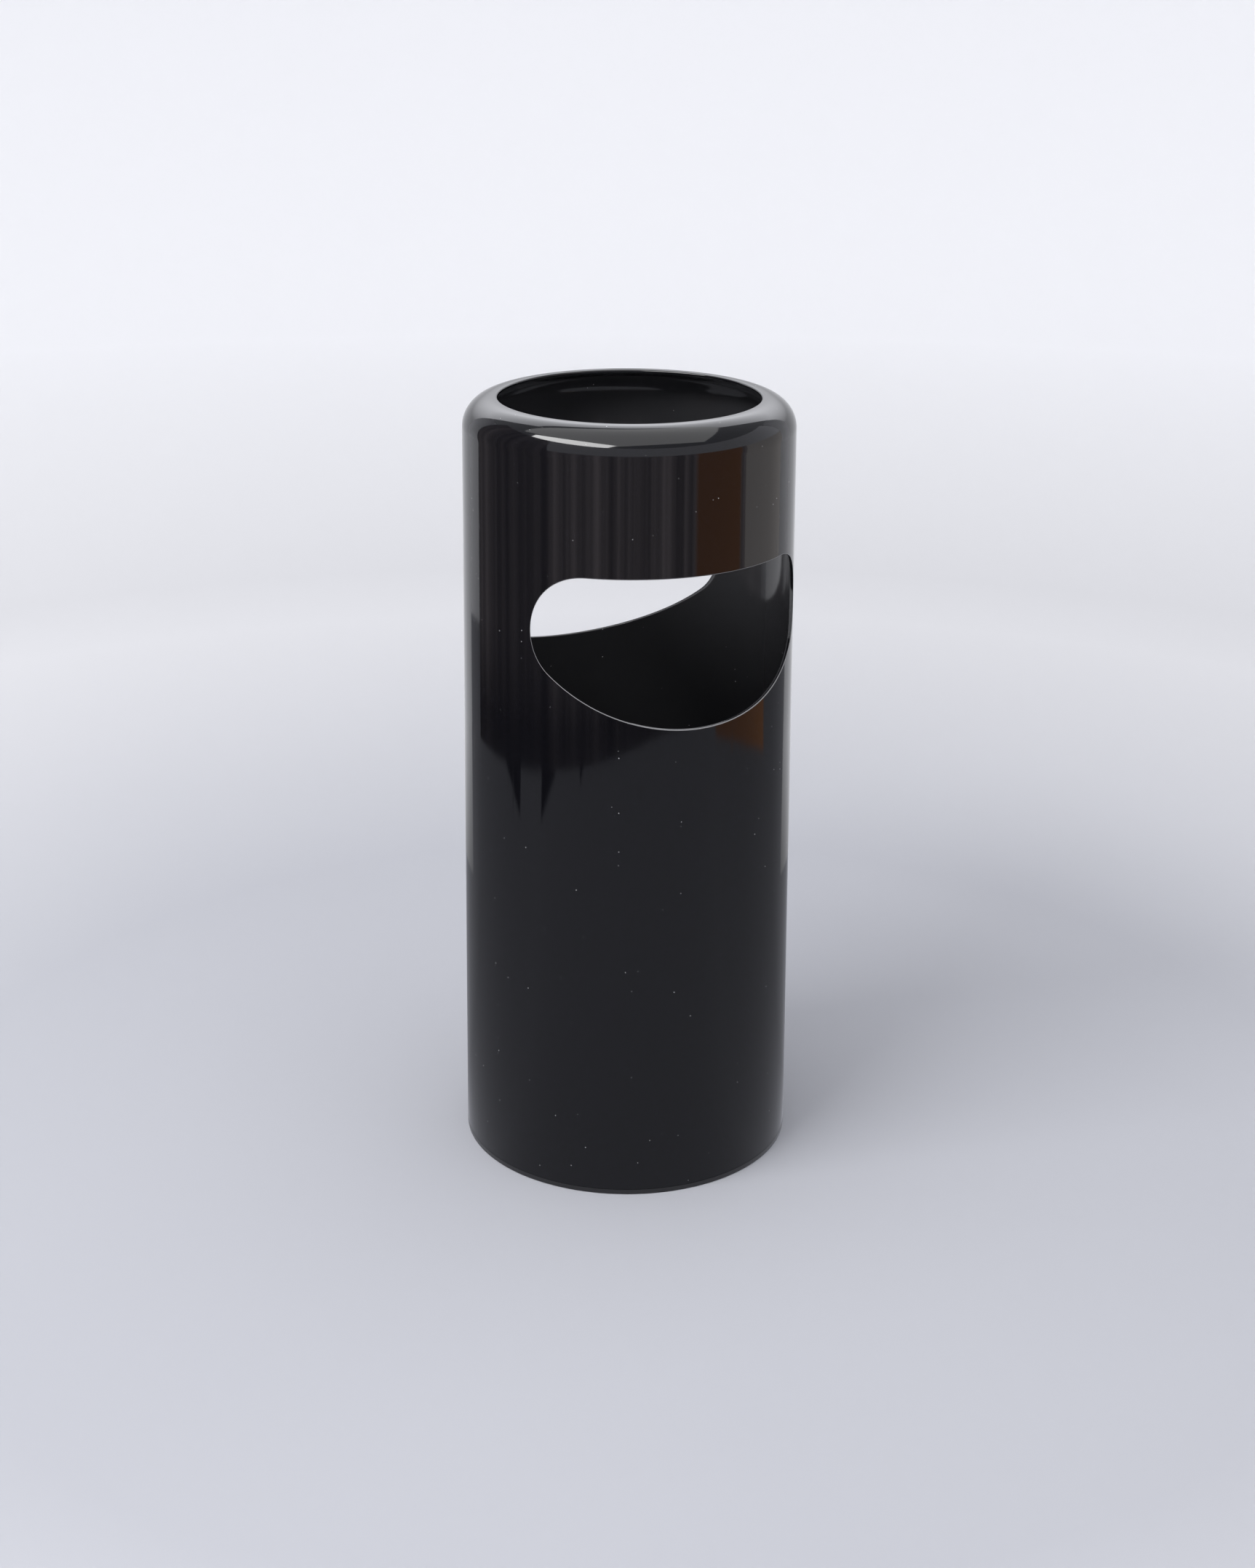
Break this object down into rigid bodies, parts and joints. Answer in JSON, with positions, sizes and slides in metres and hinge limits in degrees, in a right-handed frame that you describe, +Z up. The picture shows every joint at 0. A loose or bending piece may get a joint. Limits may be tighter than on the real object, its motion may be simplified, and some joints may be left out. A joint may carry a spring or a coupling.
{
  "type": "umbrella stand",
  "caption": "Tall round moulded umbrella stand with a turned-in mouth, hand windows on opposite sides, a snap-in weighted base and a lift-out drip tray.",
  "frame": {"origin": "centre of the circle that the feet stand on, at floor level", "axes": "+Z up along the axis of the wall; the hand windows face -Y and +Y"},
  "size_m": [0.217, 0.217, 0.5],
  "materials": {
    "gloss_shell": "high-gloss black ABS",
    "moulded_base": "gloss black ABS flange, finely textured inside",
    "moulded_tray": "satin black polypropylene",
    "ballast_steel": "rolled zinc-plated steel",
    "screw_steel": "bright zinc-plated steel",
    "rubber_foot": "matte black rubber"
  },
  "bodies": {
    "stand": {"shell": "gloss_shell", "base": "moulded_base", "ballast_plate": "ballast_steel", "ballast_screws": "screw_steel", "foot_1": "rubber_foot", "foot_2": "rubber_foot", "foot_3": "rubber_foot", "foot_4": "rubber_foot"},
    "tray": {"drip_tray": "moulded_tray"}
  },
  "joints": [
    {"name": "tray_lift", "type": "slide", "parent": "stand", "child": "tray", "axis": [0, 0, 1], "range_m": [0, 0.52]}
  ]
}
